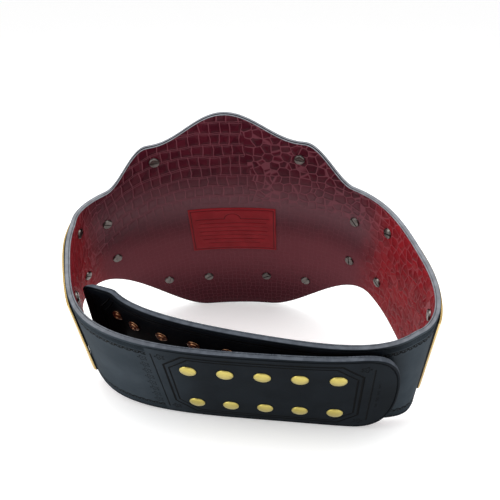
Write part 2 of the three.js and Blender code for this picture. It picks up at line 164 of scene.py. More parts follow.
STRAP_GAPS = (*np.arange(1.8, 14.4, 0.6), 16, 18, 20)
STRAP_SHEET = Sheet(LEATHER_IN, LEATHER_OUT, 1.0, 0.3, 2.2, 14, 5, STRAP_GAPS)
LINING_SHEET = Sheet(0, LINING_THICK, 0.4, 0.4, 4.0, 5, 22, (3, 6))
MAIN_PLATE_GAPS = (1.6, 2.2, 2.8, 3.4, 4.0, 4.6, 5.2, 6.0)
MAIN_PLATE_SHEET = Sheet(PLATE_IN, PLATE_OUT, 0.8, 0.3, 1.7, 130, 6, MAIN_PLATE_GAPS)
SIDE_PLATE_GAPS = (1.6, 2.4, 3.2, 4.0, 4.8, 5.6, 6.4)
SIDE_PLATE_SHEET = Sheet(PLATE_IN, PLATE_OUT, 0.8, 0.3, 1.3, 90, 4, SIDE_PLATE_GAPS)
LINING_TRIM = 0.35
TIP_STATIONS = 22
INNER_TURN_POINTS = 3
OUTER_TURN_POINTS = 6
ROUNDING = 1.2
MERGE_DISTANCE = 2e-6
SHARP_ANGLE = 40
SCREW_SHARP_ANGLE = 35

# What the "face" number on a point says
INNER_FACE = 0
EDGE = 0.5
OUTER_FACE = 1

# The rows near an edge reach less deep at the tall middle than elsewhere
EDGE_DEPTH = 6
EDGE_DEPTH_MORE = 40
EDGE_DEPTH_START = 165
EDGE_DEPTH_RUN = 25


# The bent sheet
def smooth(value):
    t = np.clip(value, 0, 1)
    return t * t * (3 - 2 * t)


def fall(distance, flat, foot):
    return smooth((foot - distance) / (foot - flat))


def top_edge(s):
    across = np.abs(s)
    crown = np.where(across < CROWN_REACH, 0.5 + 0.5 * np.cos(np.pi * across / CROWN_REACH), 0)
    return STRAP_WIDTH + SHOULDER_RISE * fall(across, SHOULDER_FLAT, SHOULDER_FOOT) + CROWN_RISE * crown


def low_edge(s):
    return -LOBE_DROP * fall(np.abs(s), LOBE_FLAT, LOBE_FOOT)


def plan_table():
    """Points of the closed cubic B-spline through the sections, with their way along and tangents."""
    t = np.linspace(0, len(SECTIONS), LOOP_STEPS + 1)
    first = np.floor(t).astype(int)
    f = t - first
    g = 1 - f
    weights = np.stack([g**3, 3 * f**3 - 6 * f**2 + 4, 3 * g**3 - 6 * g**2 + 4, f**3]) / 6
    table = np.array(SECTIONS, float)
    raw = sum(weights[k][:, None] * table[(first + k - 1) % len(SECTIONS)] for k in range(4))
    x = raw[:, 0] * LOOP_WIDTH / np.ptp(raw[:, 0])
    y = -raw[:, 1] * LOOP_DEPTH / np.ptp(raw[:, 1])
    step = np.hypot(np.diff(x), np.diff(y))
    at = np.concatenate([[0], np.cumsum(step)])
    ahead = np.append(np.arange(1, LOOP_STEPS + 1), 1)
    behind = np.append(LOOP_STEPS - 1, np.arange(0, LOOP_STEPS))
    tangent = np.stack([x[ahead] - x[behind], y[ahead] - y[behind]])
    tangent /= np.hypot(*tangent)
    lean = np.radians(raw[:, 2])
    return {"at": at, "x": x, "y": y, "tx": tangent[0], "ty": tangent[1], "lean": lean}


PLAN = plan_table()
LOOP_LENGTH = PLAN["at"][-1]
LAST_SNAP = FIRST_SNAP + (SNAP_COLUMNS - 1) * SNAP_PITCH
OUTER_TIP = -(LAST_SNAP + TIP_MARGIN)
MATED_AT = LOOP_LENGTH - LAST_SNAP
INNER_TIP = MATED_AT + MATED_STUD * SNAP_PITCH + TIP_MARGIN


def inset(s):
    """How far the inner strap end runs inside the outer one."""
    outer_tip_at = LOOP_LENGTH + OUTER_TIP
    ease = smooth((s - outer_tip_at + OVERLAP_EASE) / OVERLAP_EASE)
    drift = SPREAD * smooth((s - outer_tip_at) / SPREAD_RUN)
    back = TIP_RETURN * smooth((s - INNER_TIP + RETURN_RUN) / RETURN_RUN)
    return ease * (LEATHER_OUT + FASTENED_SPACE) + drift - back


def spot(s, v, w):
    """Points of the bent sheet in the belt's own frame, in millimetres."""
    s, v, w = np.broadcast_arrays(*[np.asarray(a, float) for a in (s, v, w)])
    at = np.mod(s, LOOP_LENGTH)
    x, y, tx, ty, lean = [np.interp(at, PLAN["at"], PLAN[key]) for key in ("x", "y", "tx", "ty", "lean")]
    across = (w - MID_LAYER) * np.cos(lean) + v * np.sin(lean) - inset(s)
    z = v * np.cos(lean) - (w - MID_LAYER) * np.sin(lean)
    return np.stack([x - ty * across, y + tx * across, z], -1)


def rest_tilt():
    """The tilt that brings the lobe and the lower edge under the snaps to one level."""
    lobe = spot(0, low_edge(0), 0)
    near = spot(-LAST_SNAP, 0, LEATHER_OUT)
    return math.atan2(near[2] - lobe[2], lobe[1] - near[1])


TILT = rest_tilt()
STAND = np.array(Matrix.Rotation(TILT, 3, "X"))


def rest_shift():
    """The box of the solid label tells how far the tilted belt is moved to stand on the ground."""
    half = LABEL_LENGTH / 2
    along = np.concatenate([[-half], SOLID_LABEL_STEPS, [half]])
    rows = LABEL_FOOT + LABEL_HEIGHT * SOLID_LABEL_ROWS
    s, v, w = np.meshgrid(along, rows, SOLID_LABEL_FACES)
    loose = spot(s, v, w).reshape(-1, 3) @ STAND.T
    return np.array(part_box("label_patch")[0]) / MM - loose.min(0)


SHIFT = rest_shift()


def placed(s, v, w):
    """Points of the bent sheet where the belt stands, in metres."""
    return (spot(s, v, w) @ STAND.T + SHIFT) * MM


def seat(s, v, w):
    """Frame square to the sheet: +Z outward, +Y up the wall, w out from the lining's inner face."""
    origin = placed(s, v, 0)
    along = placed(s + 1, v, 0) - placed(s - 1, v, 0)
    up = placed(s, v + 1, 0) - placed(s, v - 1, 0)
    z = np.cross(up, along)
    z /= np.linalg.norm(z)
    x = np.cross(up, z)
    x /= np.linalg.norm(x)
    turn = Matrix(np.stack([x, np.cross(z, x), z], -1).tolist()).to_4x4()
    return Matrix.Translation(Vector(origin + z * w * MM)) @ turn


# Meshes and pieces
def make_mesh(name, points, faces, fields=None):
    """A smooth-shaded mesh; fields are named numbers or vectors kept on its points."""
    mesh = bpy.data.meshes.new(name)
    mesh.from_pydata([tuple(p) for p in points], [], faces)
    for label, values in (fields or {}).items():
        values = np.asarray(values, np.float32)
        kind = "FLOAT_VECTOR" if values.ndim == 2 else "FLOAT"
        layer = mesh.attributes.new(label, kind, "POINT")
        layer.data.foreach_set("vector" if values.ndim == 2 else "value", values.ravel())
    mesh.shade_smooth()
    mesh.set_sharp_from_angle(angle=math.radians(SHARP_ANGLE))
    mesh.update()
    return mesh


def add_object(name, data):
    """An object linked into the scene."""
    made = bpy.data.objects.new(name, data)
    bpy.context.scene.collection.objects.link(made)
    return made


def add_piece(name, mesh, look, node):
    """Adds a piece that stands for a CAD node, and gives it its material."""
    piece = add_object(name, mesh)
    mesh.materials.append(look)
    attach(piece, "root")
    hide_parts(node)


def aim_object(thing, place, direction):
    """Places a lamp or a camera and turns it to look along a direction."""
    thing.location = place
    thing.rotation_mode = "QUATERNION"
    thing.rotation_quaternion = direction.to_track_quat("-Z", "Y")


def lathe(profile, sides):
    """Points and faces of a turned shape; the profile runs from the axis back to the axis."""
    inner = profile[1:-1]
    angle = 2 * np.pi * np.arange(sides) / sides
    points = [(0, 0, profile[0][1])]
    for radius, height in inner:
        points += [(radius * math.cos(a), radius * math.sin(a), height) for a in angle]
    points.append((0, 0, profile[-1][1]))
    faces = []
    last = len(points) - 1
    end = 1 + (len(inner) - 1) * sides
    for k in range(sides):
        n = (k + 1) % sides
        faces.append((0, 1 + n, 1 + k))
        for r in range(len(inner) - 1):
            a, b = 1 + r * sides, 1 + (r + 1) * sides
            faces.append((a + k, a + n, b + n, b + k))
        faces.append((last, end + k, end + n))
    return points, faces


def arc(centre, radius, start, stop, count):
    """Profile points on an arc, angles in degrees from the radius axis."""
    angles = np.radians(np.linspace(start, stop, count))
    return [(centre[0] + radius * math.cos(a), centre[1] + radius * math.sin(a)) for a in angles]


def metres(profile):
    return [(radius * MM, height * MM) for radius, height in profile]


# Sheets
def stations(start, stop, step, round_tip):
    """Places along the belt: even steps, and closer ones round the tips, which end at a point."""
    if not round_tip:
        return np.linspace(start, stop, int((stop - start) / step) + 2)
    angle = np.linspace(0, np.pi / 2, TIP_STATIONS, endpoint=False)
    tip = round_tip * (1 - np.cos(angle) ** (2 / TIP_POWER))
    count = int((stop - start - 2 * round_tip) / step) + 2
    body = np.linspace(start + round_tip, stop - round_tip, count)
    return np.concatenate([start + tip, body, (stop - tip)[::-1]])


def tip_share(s, start, stop, round_tip):
    """How much of the half height is left near a rounded tip."""
    t = np.clip(1 - np.minimum(s - start, stop - s) / round_tip, 0, 1)
    return (1 - t**TIP_POWER) ** (1 / TIP_POWER)


def inward(s, edge, sign, round_tip):
    """Unit directions from an edge of the flat sheet towards its inside; sign is 1 for the top."""
    along, rise = np.gradient(s), np.gradient(edge)
    length = np.hypot(along, rise)
    across, down = sign * rise / length, -sign * along / length
    if round_tip:
        across[[0, -1]], down[[0, -1]] = (1, -1), 0
    return across, down


def edge_profile(sheet):
    """(gap, w, face) from the inner face over a rounded edge to the outer face."""
    profile = [(sheet.inner_edge, sheet.inner, INNER_FACE)]
    for a in np.radians(np.linspace(90, 0, INNER_TURN_POINTS))[1:]:
        gap = sheet.inner_edge * (1 - math.cos(a))
        profile.append((gap, sheet.inner + sheet.inner_edge * (1 - math.sin(a)), INNER_FACE))
    for a in np.radians(np.linspace(0, 90, OUTER_TURN_POINTS))[:-1]:
        gap = sheet.edge * (1 - math.cos(a))
        profile.append((gap, sheet.outer - sheet.edge * (1 - math.sin(a)), EDGE))
    profile.append((sheet.edge, sheet.outer, OUTER_FACE))
    return profile + [(gap, sheet.outer, OUTER_FACE) for gap in sheet.gaps]


def sheet_rows(sheet, s, low, high, depth, round_tip):
    """Rows of one closed section per station: s, v, w, gap to the edge, and the face's number.

    Gaps past ROUNDING are scaled so that the last one is the local depth."""
    profile = edge_profile(sheet)
    deepest = profile[-1][0]
    local = np.minimum(depth, deepest)

    def gap_at(gap):
        if gap <= ROUNDING:
            return np.full_like(s, gap)
        return ROUNDING + (gap - ROUNDING) * (local - ROUNDING) / (deepest - ROUNDING)

    def edge_rows(edge, sign, order):
        across, down = inward(s, edge, sign, round_tip)
        made = []
        for gap, w, face in order:
            g = gap_at(gap)
            made.append((s + across * g, edge + down * g, np.full_like(s, w), g, np.full_like(s, face)))
        return made

    def rows_between(first, last, count, w, face):
        made = []
        span = np.hypot(last[0] - first[0], last[1] - first[1])
        for k in range(1, count + 1):
            t = k / (count + 1)
            across = first[0] * (1 - t) + last[0] * t
            up = first[1] * (1 - t) + last[1] * t
            gap = first[3] + min(t, 1 - t) * span
            made.append((across, up, np.full_like(s, w), gap, np.full_like(s, face)))
        return made

    top = edge_rows(high, 1, profile)
    bottom = edge_rows(low, -1, profile[::-1])
    rows = top + rows_between(top[-1], bottom[0], sheet.outer_rows, sheet.outer, OUTER_FACE)
    rows += bottom + rows_between(bottom[-1], top[0], sheet.inner_rows, sheet.inner, INNER_FACE)
    return [np.stack([row[k] for row in rows]) for k in range(5)]


def sheet_mesh(name, rows, relief=None, form=None, closed_tips=True):
    """A closed mesh from rows of sections; relief(s, v, gap) and form(s, v) lift the outer face."""
    across, up, w, gap, face = rows
    outside = face == OUTER_FACE
    ornament = relief(across, up, gap) if relief else np.zeros_like(across)
    base = form(across, up) if form else 0
    count, columns = across.shape
    points = placed(across, up, w + np.where(outside, ornament + base, 0))
    fields = {
        "sheet": np.stack([across, up, w], -1).transpose(1, 0, 2).reshape(-1, 3),
        "gap": gap.T.ravel(),
        "face": face.T.ravel(),
        "raised": np.where(outside & (gap > RIM_GAP), ornament, 1).T.ravel(),
    }
    points = points.transpose(1, 0, 2).reshape(-1, 3)
    column = np.arange(columns - 1)[:, None] * count
    row = np.arange(count)[None, :]
    after = (row + 1) % count
    quads = np.stack([column + row, column + after, column + count + after, column + count + row], -1)
    faces = quads.reshape(-1, 4).tolist()
    if not closed_tips:
        faces.append(list(range(count))[::-1])
        faces.append([(columns - 1) * count + k for k in range(count)])
    mesh = make_mesh(name, points, faces, fields)
    if closed_tips:
        merge_points(mesh)
    return mesh


def merge_points(mesh):
    """Joins points that coincide, and turns all faces outward."""
    work = bmesh.new()
    work.from_mesh(mesh)
    bmesh.ops.remove_doubles(work, verts=work.verts, dist=MERGE_DISTANCE)
    bmesh.ops.recalc_face_normals(work, faces=work.faces)
    work.to_mesh(mesh)
    work.free()
    mesh.update()


def stroke(distance, half):
    """1 on a line, falling evenly to 0 half away from it."""
    return np.clip(1 - np.abs(distance) / half, 0, 1)


def ridge(value, middle, half):
    """A round ridge, 1 high in the middle."""
    return np.clip(1 - ((value - middle) / half) ** 2, 0, 1) ** 0.5


# Shader fields
class Field:
    """A number in a node tree that takes part in arithmetic."""

    def __init__(self, tree, socket):
        self.tree = tree
        self.socket = socket

    def math(self, operation, *others):
        node = self.tree.nodes.new("ShaderNodeMath")
        node.operation = operation
        for slot, value in zip(node.inputs, (self, *others)):
            if isinstance(value, Field):
                self.tree.links.new(value.socket, slot)
            else:
                slot.default_value = value
        return Field(self.tree, node.outputs[0])

    def __add__(self, other):
        return self.math("ADD", other)

    def __sub__(self, other):
        return self.math("SUBTRACT", other)

    def __mul__(self, other):
        return self.math("MULTIPLY", other)

    def absolute(self):
        return self.math("ABSOLUTE")

    def ramp(self, start, stop):
        """Smooth step from 0 at start to 1 at stop."""
        node = self.tree.nodes.new("ShaderNodeMapRange")
        node.interpolation_type = "SMOOTHSTEP"
        self.tree.links.new(self.socket, node.inputs["Value"])
        for label, value in zip(("From Min", "From Max", "To Min", "To Max"), (start, stop, 0, 1)):
            node.inputs[label].default_value = value
        return Field(self.tree, node.outputs[0])

    def groove(self, middle, half):
        """1 on a line at middle, falling to 0 half away from it."""
        return (self - middle).absolute().ramp(half, 0)

    def between(self, low, high, edge=0.5):
        return self.ramp(low - edge, low + edge) * self.ramp(high + edge, high - edge)

    def repeat(self, pitch):
        """Distance from the middle of each of a row of cells."""
        return (self.math("MODULO", pitch) + pitch).math("MODULO", pitch) - pitch / 2


def length(a, b):
    return (a * a + b * b).math("SQRT")


def mixed(first, second, share):
    return first + (second - first) * share


class Look:
    """A material on one principled shader, with helpers for its fields."""

    def __init__(self, name, **values):
        self.material = bpy.data.materials.new(name)
        self.material.use_nodes = True
        self.tree = self.material.node_tree
        self.shader = self.tree.nodes["Principled BSDF"]
        for label, value in values.items():
            self.shader.inputs[label.replace("_", " ")].default_value = value

    def node(self, kind, **settings):
        node = self.tree.nodes.new(kind)
        for label, value in settings.items():
            setattr(node, label, value)
        return node

    def join(self, source, target):
        self.tree.links.new(source.socket if isinstance(source, Field) else source, target)

    def number(self, label):
        return Field(self.tree, self.node("ShaderNodeAttribute", attribute_name=label).outputs["Fac"])

    def split(self, kind, source):
        """The parts of a vector or a colour."""
        node = self.node(kind)
        self.join(source, node.inputs[0])
        return [Field(self.tree, socket) for socket in node.outputs]

    def sheet(self):
        """Fields of s, v and w."""
        source = self.node("ShaderNodeAttribute", attribute_name="sheet").outputs["Vector"]
        return self.split("ShaderNodeSeparateXYZ", source)

    def place(self):
        return self.node("ShaderNodeTexCoord").outputs["Object"]

    def vector(self, x, y):
        node = self.node("ShaderNodeCombineXYZ")
        self.join(x, node.inputs[0])
        self.join(y, node.inputs[1])
        return node.outputs[0]

    def noise(self, vector, scale, detail=3.0, roughness=0.5):
        node = self.node("ShaderNodeTexNoise")
        self.join(vector, node.inputs["Vector"])
        node.inputs["Scale"].default_value = scale
        node.inputs["Detail"].default_value = detail
        node.inputs["Roughness"].default_value = roughness
        return Field(self.tree, node.outputs["Fac"])

    def cells(self, vector, scale, randomness, feature="DISTANCE_TO_EDGE"):
        node = self.node("ShaderNodeTexVoronoi", feature=feature)
        self.join(vector, node.inputs["Vector"])
        node.inputs["Scale"].default_value = scale
        node.inputs["Randomness"].default_value = randomness
        return node

    def seams(self, vector, randomness):
        """Distance to the seams between cells of size 1."""
        return Field(self.tree, self.cells(vector, 1.0, randomness).outputs["Distance"])

    def blend(self, factor, low, high):
        """A colour between two others, each a tuple or a socket."""
        node = self.node("ShaderNodeMix", data_type="RGBA")
        self.join(factor, node.inputs["Factor"])
        sockets = [slot for slot in node.inputs if slot.type == "RGBA"]
        for value, slot in zip((low, high), sockets):
            if isinstance(value, tuple):
                slot.default_value = (*value, 1)
            else:
                self.join(value, slot)
        return [out for out in node.outputs if out.type == "RGBA"][0]

    def paint(self, colour):
        self.join(colour, self.shader.inputs["Base Color"])

    def rough(self, field):
        self.join(field, self.shader.inputs["Roughness"])

    def bump(self, height):
        """Heights in millimetres."""
        node = self.node("ShaderNodeBump")
        node.inputs["Strength"].default_value = 1.0
        node.inputs["Distance"].default_value = MM
        self.join(height, node.inputs["Height"])
        self.join(node.outputs[0], self.shader.inputs["Normal"])
        self.join(node.outputs[0], self.shader.inputs["Coat Normal"])


# Octagon frames, bars and flowers round the snaps and round the studs
PANEL_PAST = 20.6
SNAP_REACH = (LAST_SNAP - FIRST_SNAP) / 2
STUD_REACH = MATED_STUD * SNAP_PITCH / 2
PANELS = ((-(FIRST_SNAP + LAST_SNAP) / 2, SNAP_REACH + PANEL_PAST),
          (MATED_AT + STUD_REACH, STUD_REACH + PANEL_PAST))
PANEL_GAP = 9.3
PANEL_CUT = 18.0
PANEL_LINES = ((0, 1.35), (4.2, 1.0))
LINE_FLAT = 0.3
BAR_OFFSET = 8.6
BAR_HALF = 1.1
BAR_ENDS = (11, 12)
CORNER_OFFSET = 1.0
CORNER_DROP = 5.5
STEM_OFFSET = 9.0
STEM_ENDS = (16, 17)
FLOWER_SIZE = 4.4
FLOWER_PITCH = 11.5
FLOWER_PETALS = 5.0
PETAL_WAVE = FLOWER_SIZE * 0.24
PETAL_RADIUS = FLOWER_SIZE * 0.74
PETAL_LINE = (0.75, 0.2)
FLOWER_DOT = (0.9, 0.4)

# Borders between the side plates and the panels: grooves along the edge and a row of scallops
EDGE_GROOVES = (3.4, 5.2, 7.0, 8.8)
EDGE_GROOVE_HALF = 0.7
LONE_GROOVE = (2.6, 0.8)
BORDER_UNDER_PLATE = 4
BORDER_START = SIDE_PLATE_END - BORDER_UNDER_PLATE
BORDER_STOP = {"left": 392.0, "right": 374.0}
SCALLOP_PITCH = 7.3
SCALLOP_GAP = 12.4
SCALLOP_RING = (2.9, 0.85)
SCALLOP_SQUASH = 0.95
SCALLOP_HALF = (-0.9, 0.0)
SCALLOP_BASE = (-1.1, 0.7)
DROP_HEIGHT = 0.9
DROP_SIZE = (1.2, 0.5)

# How deep each kind of stamp is, in millimetres
FRAME_DEPTH = 0.9
BAR_DEPTH = 0.7
CORNER_DEPTH = 0.7
STEM_DEPTH = 0.5
SCALLOP_DEPTH = 1.4
DROP_DEPTH = 0.8
GROOVE_DEPTH = 0.5
LONE_DEPTH = 0.6
DEEPEST = 1.0


def octagon(s, v, middle, half, inner):
    """Field of the distance outside a panel's octagon, shrunk by inner."""
    along = (s - middle).absolute() - (half - inner)
    up = (v - STRAP_MIDDLE).absolute() - (STRAP_MIDDLE - PANEL_GAP - inner)
    cut = (along + up + PANEL_CUT) * math.sqrt(0.5)
    return along.math("MAXIMUM", up).math("MAXIMUM", cut)


def flower(x, y):
    """Ring of five petals with a dot in the middle."""
    radius = length(x, y)
    petals = (y.math("ARCTAN2", x) * FLOWER_PETALS).math("COSINE") * PETAL_WAVE
    return (radius - petals - PETAL_RADIUS).absolute().ramp(*PETAL_LINE) + radius.ramp(*FLOWER_DOT)


def scallops(s, gap):
    """A row of stamped D shapes, each over a small drop."""
    x = s.repeat(SCALLOP_PITCH)
    y = gap - SCALLOP_GAP
    ring = length(x * SCALLOP_SQUASH, y).groove(*SCALLOP_RING) * y.ramp(*SCALLOP_HALF)
    drop = length(x, y - DROP_HEIGHT).ramp(*DROP_SIZE)
    return ring + drop * DROP_DEPTH + y.groove(*SCALLOP_BASE)


def tooling(s, v, gap):
    """Depths of the stamped lines, scallops and flowers on the leather, in millimetres."""
    depth = gap * 0.0
    off_middle = v - STRAP_MIDDLE
    for middle, half in PANELS:
        for inner, line in PANEL_LINES:
            frame_line = octagon(s, v, middle, half, inner).absolute().ramp(line, line * LINE_FLAT)
            depth = depth + frame_line * FRAME_DEPTH
        off = (s - middle).absolute()
        bars = off.groove(half + BAR_OFFSET, BAR_HALF)
        depth = depth + bars * gap.ramp(*BAR_ENDS) * BAR_DEPTH
        corner = off - (half + CORNER_OFFSET)
        high = off_middle.absolute() - (STRAP_MIDDLE - PANEL_GAP - CORNER_DROP)
        depth = depth + flower(corner, high) * CORNER_DEPTH
        stem = off - (half + BAR_OFFSET + STEM_OFFSET)
        along = off_middle.repeat(FLOWER_PITCH)
        depth = depth + flower(stem, along) * gap.ramp(*STEM_ENDS) * STEM_DEPTH
    for sign, side in ((-1.0, "left"), (1.0, "right")):
        here = (s * sign).between(BORDER_START, BORDER_STOP[side])
        depth = depth + here * scallops(s, gap) * SCALLOP_DEPTH
        for middle in EDGE_GROOVES:
            depth = depth + here * gap.groove(middle, EDGE_GROOVE_HALF) * GROOVE_DEPTH
    return (depth + gap.groove(*LONE_GROOVE) * LONE_DEPTH).math("MINIMUM", DEEPEST)


# Colours of the edges and the leather; a pair is a darker and a lighter tone
EDGE_FRESH = (0.135, 0.14, 0.155), (0.185, 0.195, 0.215)
EDGE_WORN = (0.040, 0.046, 0.057), (0.066, 0.075, 0.090)
LEATHER_DEEP = (0.0036, 0.0052, 0.0072), (0.0062, 0.0088, 0.0120)
# The lighter leather pair is a painted reflection that lightens the middle of the belt.
LEATHER_REFLECTION_TONES = (0.021, 0.029, 0.037), (0.034, 0.044, 0.054)
# The stamped colour is painted shade in the recesses of the stamps.
STAMP_SHADE = (0.0008, 0.0010, 0.0014)
CRACK = (0.006, 0.006, 0.010)

# Where along the belt the edge paint is worn, and where the leather turns from deep at the strap ends to
# the lighter tone of a painted reflection over the middle
EDGE_WEAR = (250, 440)
OUTER_REFLECTION = (-450.0, -345.0)
INNER_REFLECTION = (378.0, 335.0)

# The crack between lining and leather, and where the edge paint ends on the outer face
CRACK_REACH = (150, 110)
CRACK_LAYER = (LEATHER_IN + 0.8, LEATHER_IN + 0.5)
PAINT_LAYER = (LEATHER_OUT - 0.9, LEATHER_OUT - 0.4)

# Noises: scale, detail and roughness; the middle of a noise is spread over a pair of tones
SPREAD_TONES = (0.3, 0.7)
EDGE_NOISE = (160, 4)
PORE_SCALE = 1100
PORE_HEIGHT = 0.03
GRAIN_NOISE = (420, 4)
GRAIN_HEIGHT = 0.05
WEAR_NOISE = (22, 5, 0.6)
WEAR_TONES = (0.3, 0.75)
STAMP_SHADE_TONES = (0.05, 0.7)
LEATHER_ROUGH = 0.34
WEAR_ROUGH = 0.12
STAMP_ROUGH = 0.25


def edge_paint(look, s):
    """Grey paint on the cut edges, rubbed darker towards the strap ends."""
    tone = look.noise(look.place(), *EDGE_NOISE).ramp(*SPREAD_TONES)
    fresh = look.blend(tone, *EDGE_FRESH)
    worn = look.blend(tone, *EDGE_WORN)
    return look.blend(s.absolute().ramp(*EDGE_WEAR), fresh, worn)


def leather_look():
    """Blue-black leather with pores, wear, stamps darkened by painted shade, a painted reflection
    lightening the middle of the belt, and grey edges with a dark crack at the middle.
    """
    look = Look("tooled_leather", Specular_IOR_Level=0.0, Coat_Weight=0.08, Coat_Roughness=0.3)
    s, v, w = look.sheet()
    place = look.place()
    pores = Field(look.tree, look.cells(place, PORE_SCALE, 1.0, "F1").outputs["Distance"])
    grain = pores * PORE_HEIGHT + look.noise(place, *GRAIN_NOISE) * GRAIN_HEIGHT
    cut = tooling(s, v, look.number("gap")) * look.number("face").ramp(0.8, OUTER_FACE)
    wear = look.noise(place, *WEAR_NOISE).ramp(*WEAR_TONES)
    # Painted reflection: the leather is lighter over the middle of the belt and darker towards the strap
    # ends.
    reflection_share = s.ramp(*OUTER_REFLECTION) * s.ramp(*INNER_REFLECTION)
    plain = look.blend(reflection_share, look.blend(wear, *LEATHER_DEEP), look.blend(wear, *LEATHER_REFLECTION_TONES))
    # Painted shade: the stamped lines are darkened where their recesses would be in shade.
    tooled = look.blend(cut.ramp(*STAMP_SHADE_TONES), plain, STAMP_SHADE)
    crack = w.ramp(*CRACK_LAYER) * s.absolute().ramp(*CRACK_REACH)
    edge = look.blend(crack, edge_paint(look, s), CRACK)
    look.paint(look.blend(w.ramp(*PAINT_LAYER), edge, tooled))
    look.rough(wear * WEAR_ROUGH + cut * STAMP_ROUGH + LEATHER_ROUGH)
    look.bump(grain - cut)
    return look.material


# Crocodile scales: sizes in millimetres, and where rows, round scales and small ones lie
SCALE_TALL = 13.5
SCALE_WIDE = 10.6
ROUND_SCALE = 9.6
SMALL_SCALE = 5.6
SMALL_SQUASH = 0.85
ROUND_RANDOM = 0.6
SMALL_RANDOM = 0.35
ROW_SPIN = 12.9898
ROW_SHIFT = 3.7
ROW_SEAM = 0.9
COLUMN_LEAD = 0.2
WANDER_SCALE = 38
WANDER_UP = 8.0
SWAY_SCALE = 52
SWAY = 7.0
BEND_START = 25.0
BEND = 0.0024
LARGE_ABOVE = (72, 92)
LARGE_WANDER = 20.0
ROUND_RIGHT = (20, 21)
ROUND_LEFT = (140, 141)
ROUND_WANDER = 40.0
WALL_START = (140, 175)
WALL_SHARE = 0.85

# Colours of the lining; the milky tone is a painted reflection, a sheen along the middle
LINING_TOP = (0.036, 0.0045, 0.009), (0.056, 0.007, 0.013)
LINING_SHEEN = (0.118, 0.050, 0.060)
LINING_LOW = (0.112, 0.027, 0.035)
LINING_FOOT = (0.040, 0.005, 0.009)
LINING_SIDES = (0.145, 0.009, 0.013), (0.215, 0.013, 0.018)
SEAM_COLOURS = (0.150, 0.044, 0.058), (0.24, 0.045, 0.055)
SHEEN_BAND = (66, 104, 30)
LOW_BELOW = (70, 25)
FOOT_BELOW = (10, -70)
SIDES_PAST = (140, 195)
PAINTED_RIM = (0.62, 0.42)

# Seams: the large scales' are wider and stronger than the small ones'; heights in millimetres
SEAM_LINE = (0.75, 0.2)
SMALL_THINNER = 2.1
LARGE_WIDER = -1.1
SMALL_SEAM = 0.3
LARGE_SEAM_MORE = 0.35
SCALE_SLOPE = (0.1, 2.8)
SMALL_HEIGHT = 0.1
LARGE_HEIGHT_MORE = 0.85
SKIN_NOISE = (700, 4)
SKIN_HEIGHT = 0.03
LINING_ROUGH = 0.3
SHADE_ROUGH = 0.08


def row_scales(s, row):
    """Distance to the seams of rectangular scales laid in rows."""
    index = row.math("FLOOR")
    column = s * (1 / SCALE_WIDE) + (index * ROW_SPIN).math("SINE") * ROW_SHIFT
    across = (row - index - 0.5).absolute() * -SCALE_TALL + SCALE_TALL / 2
    along = (column - column.math("FLOOR") - 0.5).absolute() * -SCALE_WIDE + SCALE_WIDE / 2
    return across, along


def scale_seams(look, s, v):
    """Distance to the nearest seam, a shade per scale, and the share of the large scales."""
    place = look.place()
    wander = look.noise(place, WANDER_SCALE, 2) - 0.5
    x = s + (look.noise(place, SWAY_SCALE, 2) - 0.5) * SWAY
    left = (s * -1.0 - BEND_START).math("MAXIMUM", 0.0)
    y = v + left * left * BEND + wander * WANDER_UP
    across, along = row_scales(x, y * (1 / SCALE_TALL))
    rows = ((across - ROW_SEAM).absolute() + COLUMN_LEAD).math("MINIMUM", along)
    grown = look.vector(x * (1 / ROUND_SCALE), y * (1 / ROUND_SCALE))
    round_edge = look.seams(grown, ROUND_RANDOM) * ROUND_SCALE
    fine = look.vector(x * (1 / SMALL_SCALE), y * (1 / SMALL_SCALE * SMALL_SQUASH))
    fine_edge = look.seams(fine, SMALL_RANDOM) * SMALL_SCALE
    colour = look.cells(grown, 1.0, ROUND_RANDOM, "F1").outputs["Color"]
    shade = look.split("ShaderNodeSeparateColor", colour)[0]
    large = (y - wander * LARGE_WANDER).ramp(*LARGE_ABOVE)
    right = (s + wander * ROUND_WANDER).ramp(*ROUND_RIGHT)
    rounder = right.math("MAXIMUM", (s * -1.0).ramp(*ROUND_LEFT))
    big = mixed(rows, round_edge, rounder)
    share = large.math("MAXIMUM", s.absolute().ramp(*WALL_START) * WALL_SHARE)
    return mixed(fine_edge, big, share), shade, share


def lining_look():
    """Dark red scales with a painted milky sheen along the middle, brighter at the two side walls."""
    look = Look("croc_lining", Coat_Weight=0.14, Coat_Roughness=0.18, Specular_IOR_Level=0.0)
    s, v, _ = look.sheet()
    edge, shade, share = scale_seams(look, s, v)
    wall = s.absolute().ramp(*SIDES_PAST)
    top = look.blend(shade, *LINING_TOP)
    # Painted reflection: a milky sheen along the middle of the lining.
    middle = look.blend(v.between(*SHEEN_BAND), top, LINING_SHEEN)
    lower = look.blend(v.ramp(*LOW_BELOW), middle, LINING_LOW)
    body = look.blend(v.ramp(*FOOT_BELOW), lower, LINING_FOOT)
    scale = look.blend(wall, body, look.blend(shade, *LINING_SIDES))
    line = (edge * (share * LARGE_WIDER + SMALL_THINNER)).ramp(*SEAM_LINE)
    line = line * (share * LARGE_SEAM_MORE + SMALL_SEAM)
    skin = look.blend(line, scale, look.blend(wall, *SEAM_COLOURS))
    rim = look.number("gap").ramp(*PAINTED_RIM)
    look.paint(look.blend(rim, skin, edge_paint(look, s)))
    look.rough(shade * SHADE_ROUGH + LINING_ROUGH)
    pores = look.noise(look.place(), *SKIN_NOISE) * SKIN_HEIGHT
    look.bump(edge.ramp(*SCALE_SLOPE) * (share * LARGE_HEIGHT_MORE + SMALL_HEIGHT) + pores)
    return look.material


